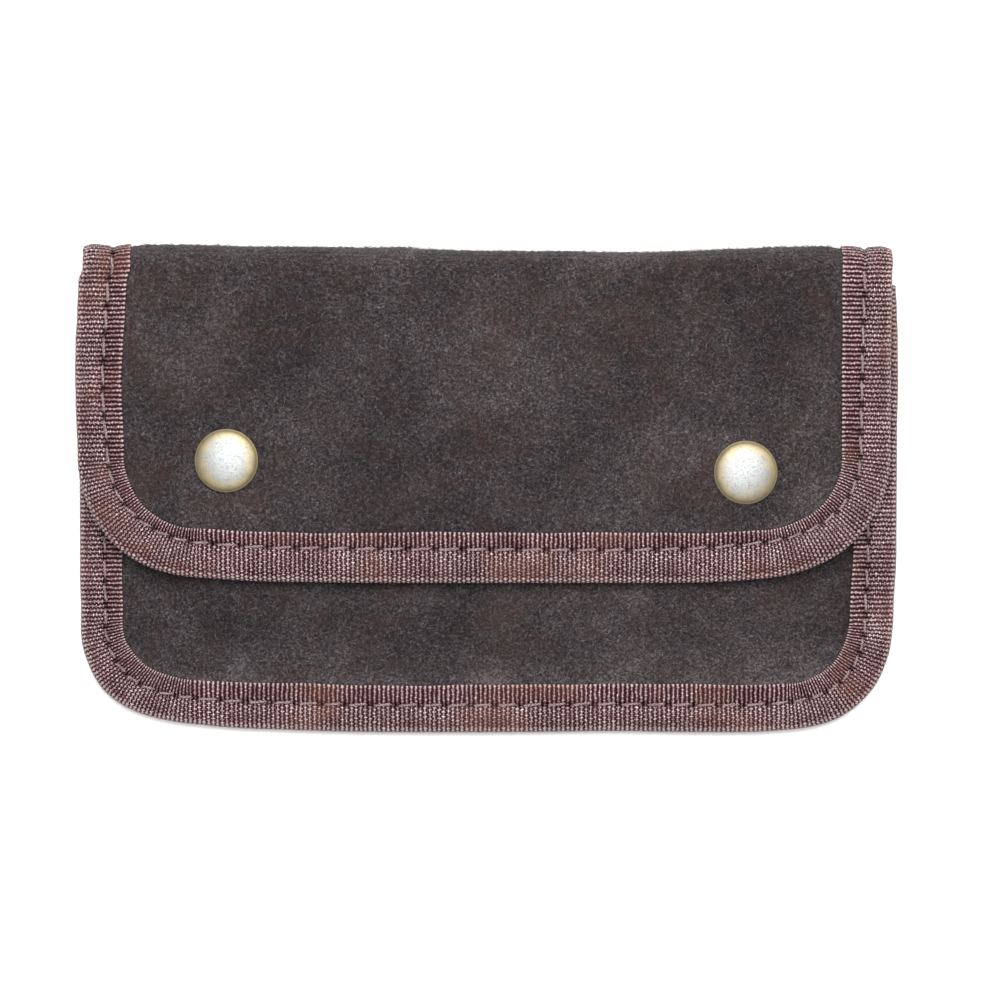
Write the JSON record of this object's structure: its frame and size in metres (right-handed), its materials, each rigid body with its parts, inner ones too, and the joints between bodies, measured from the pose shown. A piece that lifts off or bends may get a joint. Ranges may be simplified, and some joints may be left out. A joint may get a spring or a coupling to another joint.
{
  "type": "flap wallet",
  "caption": "Suede wallet whose flap folds over a bound pocket and closes with domed press snaps.",
  "frame": {"origin": "middle of the outline, on the surface that the wallet's back lies on", "axes": "+X along the width, +Y towards the fold, +Z out of the flap's face"},
  "size_m": [0.1944, 0.1167, 0.018],
  "materials": {
    "suede": "brushed nap",
    "lining_fabric": "plain woven",
    "binding_tape": "ribbed weave",
    "thread": "twisted, waxed",
    "antique_brass": "worn, brushed",
    "spring_steel": "drawn wire"
  },
  "bodies": {
    "pouch": {"back_panel": "suede", "back_lining": "lining_fabric", "card_panel": "lining_fabric", "card_slot_upper": "lining_fabric", "card_slot_middle": "lining_fabric", "card_slot_lower": "lining_fabric", "front_panel": "suede", "front_lining": "lining_fabric", "mouth_binding": "binding_tape", "body_binding": "binding_tape", "body_seam_thread": "thread", "mouth_seam_thread": "thread", "card_seam_thread": "thread", "snap_stud_left": "antique_brass", "snap_stud_right": "antique_brass", "snap_post_left": "antique_brass", "snap_post_right": "antique_brass"},
    "fold_lower": {"fold_lower_panel": "suede", "fold_lower_lining": "lining_fabric", "fold_lower_binding_left": "binding_tape", "fold_lower_binding_right": "binding_tape"},
    "fold_upper": {"fold_upper_panel": "suede", "fold_upper_lining": "lining_fabric", "fold_upper_binding_left": "binding_tape", "fold_upper_binding_right": "binding_tape"},
    "flap": {"flap_panel": "suede", "flap_lining": "lining_fabric", "flap_binding": "binding_tape", "flap_seam_thread": "thread", "snap_cap_left": "antique_brass", "snap_cap_right": "antique_brass", "snap_socket_left": "antique_brass", "snap_socket_right": "antique_brass", "snap_spring_left": "spring_steel", "snap_spring_right": "spring_steel"}
  },
  "joints": [
    {"name": "flap_hinge", "type": "hinge", "parent": "fold_upper", "child": "flap", "pos_m": [0, 0.0514, 0.01265], "axis": [-1, 0, 0], "range_deg": [0, 92]},
    {"name": "fold_middle_hinge", "type": "hinge", "parent": "fold_lower", "child": "fold_upper", "pos_m": [0, 0.05705, 0.007], "axis": [-1, 0, 0], "range_deg": [0, 69.5]},
    {"name": "fold_lower_hinge", "type": "hinge", "parent": "pouch", "child": "fold_lower", "pos_m": [0, 0.0514, 0.00135], "axis": [-1, 0, 0], "range_deg": [0, 23.5]}
  ],
  "couplings": [
    {"joint": "fold_middle_hinge", "follows": "flap_hinge", "ratio": 0.75},
    {"joint": "fold_lower_hinge", "follows": "flap_hinge", "ratio": 0.25}
  ]
}
